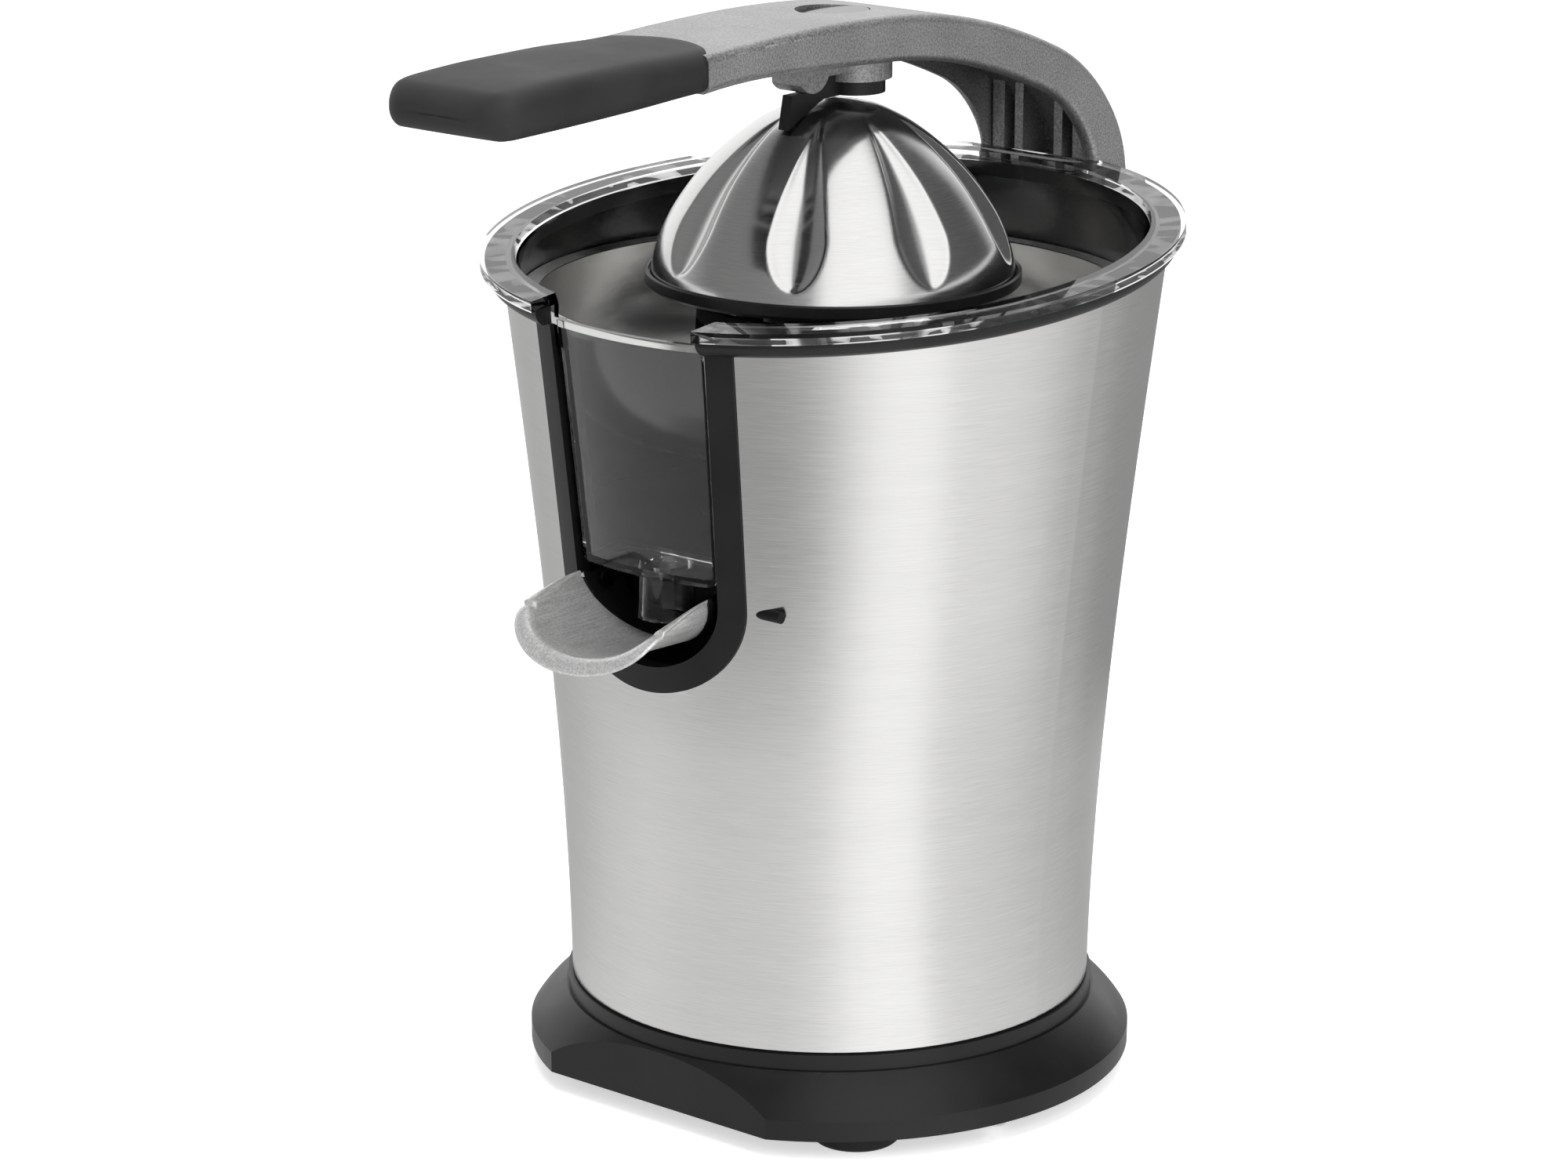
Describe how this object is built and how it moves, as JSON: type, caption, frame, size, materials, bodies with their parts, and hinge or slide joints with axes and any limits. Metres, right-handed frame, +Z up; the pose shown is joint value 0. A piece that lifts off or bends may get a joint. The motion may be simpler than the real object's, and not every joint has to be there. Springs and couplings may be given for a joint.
{
  "type": "electric citrus press",
  "caption": "Motor-driven lever citrus press: hinged lever presses fruit on a fluted steel cone over a sieve, clear bowl and tilting spout.",
  "frame": {"origin": "on the upright axis of the body and cone, at the level of the surface that the feet stand on", "axes": "+Z up along the cone's axis, -Y to the front where the spout and the lever's grip are, +Y to the back where the lever hinges, +X to the right seen from the front"},
  "size_m": [0.186, 0.2605, 0.2895],
  "materials": {
    "brushed_steel": "brushed round the body",
    "pressed_steel": "brushed, satin",
    "black_plastic": "satin black",
    "clear_plastic": "clear, glossy",
    "silver_paint": "metallic silver paint on plastic",
    "grip_rubber": "matte soft-touch",
    "badge_plastic": "glossy, bare",
    "feet_rubber": "matte",
    "zinc_steel": "zinc plated",
    "bearing_bronze": "sintered, dull",
    "white_plastic": "natural",
    "grey_plastic": "moulded",
    "motor_iron": "laminated steel",
    "copper_wire": "lacquered copper wire"
  },
  "bodies": {
    "base": {"base_plinth": "black_plastic", "base_cover": "black_plastic", "rubber_feet": "feet_rubber", "base_cover_screws": "zinc_steel", "chassis_screws": "zinc_steel", "body_shell": "brushed_steel", "slot_trim": "black_plastic", "rim_bezel": "black_plastic", "inner_housing": "black_plastic", "deck_screws": "zinc_steel", "juice_bowl": "clear_plastic", "sieve": "pressed_steel", "sieve_turret": "black_plastic", "spout_pivot_pins": "zinc_steel", "hinge_housing": "black_plastic", "hinge_screws": "zinc_steel", "hinge_pin": "zinc_steel", "gearbox_housing": "grey_plastic", "gearbox_lid": "grey_plastic", "output_bushes": "bearing_bronze", "idler_pin": "zinc_steel", "shaft_bush": "bearing_bronze", "shaft_seal": "feet_rubber", "start_switch": "grey_plastic", "switch_bracket": "zinc_steel", "switch_screws": "zinc_steel", "motor_stator": "motor_iron", "motor_windings": "copper_wire", "motor_brackets": "zinc_steel", "motor_bushes": "bearing_bronze", "motor_screws": "zinc_steel", "cord_gland": "black_plastic", "gland_nut": "black_plastic"},
    "lever": {"lever_arm": "silver_paint", "lever_badge": "badge_plastic", "lever_grip": "grip_rubber", "presser": "black_plastic", "presser_screw": "zinc_steel", "hinge_bushes": "white_plastic"},
    "spout": {"spout": "pressed_steel", "spout_back_wall": "black_plastic"},
    "output": {"output_gear": "white_plastic", "shaft_spring": "zinc_steel"},
    "cone_unit": {"drive_shaft": "zinc_steel", "cone": "pressed_steel", "cone_collar": "black_plastic"},
    "idler": {"idler_gear": "white_plastic"},
    "motor": {"motor_rotor": "motor_iron", "motor_shaft": "zinc_steel", "motor_fan": "grey_plastic", "motor_pinion": "white_plastic"},
    "plunger": {"switch_plunger": "white_plastic"}
  },
  "joints": [
    {"name": "lever_pivot", "type": "hinge", "parent": "base", "child": "lever", "pos_m": [0, 0.098, 0.218], "axis": [-1, 0, 0], "range_deg": [0, 75]},
    {"name": "spout_tilt", "type": "hinge", "parent": "base", "child": "spout", "pos_m": [0, -0.07, 0.1465], "axis": [-1, 0, 0], "range_deg": [0, 16]},
    {"name": "cone_spin", "type": "hinge", "parent": "base", "child": "output", "pos_m": [0, 0, 0.134], "axis": [0, 0, 1], "continuous": true},
    {"name": "cone_press", "type": "slide", "parent": "output", "child": "cone_unit", "axis": [0, 0, -1], "range_m": [0, 0.002], "stiffness_N_per_m": 2500, "springref_m": -0.004, "deforming": ["shaft_spring"]},
    {"name": "idler_spin", "type": "hinge", "parent": "base", "child": "idler", "pos_m": [0, 0.0324, 0.125], "axis": [0, 0, 1], "continuous": true},
    {"name": "motor_spin", "type": "hinge", "parent": "base", "child": "motor", "pos_m": [0.0126, 0.01058, 0.07], "axis": [0, 0, 1], "continuous": true},
    {"name": "switch_press", "type": "slide", "parent": "base", "child": "plunger", "axis": [0, 0, -1], "range_m": [0, 0.002]}
  ],
  "couplings": [
    {"joint": "idler_spin", "follows": "cone_spin", "ratio": -3.5},
    {"joint": "motor_spin", "follows": "cone_spin", "ratio": 12.25},
    {"joint": "switch_press", "follows": "cone_press", "ratio": 1}
  ]
}
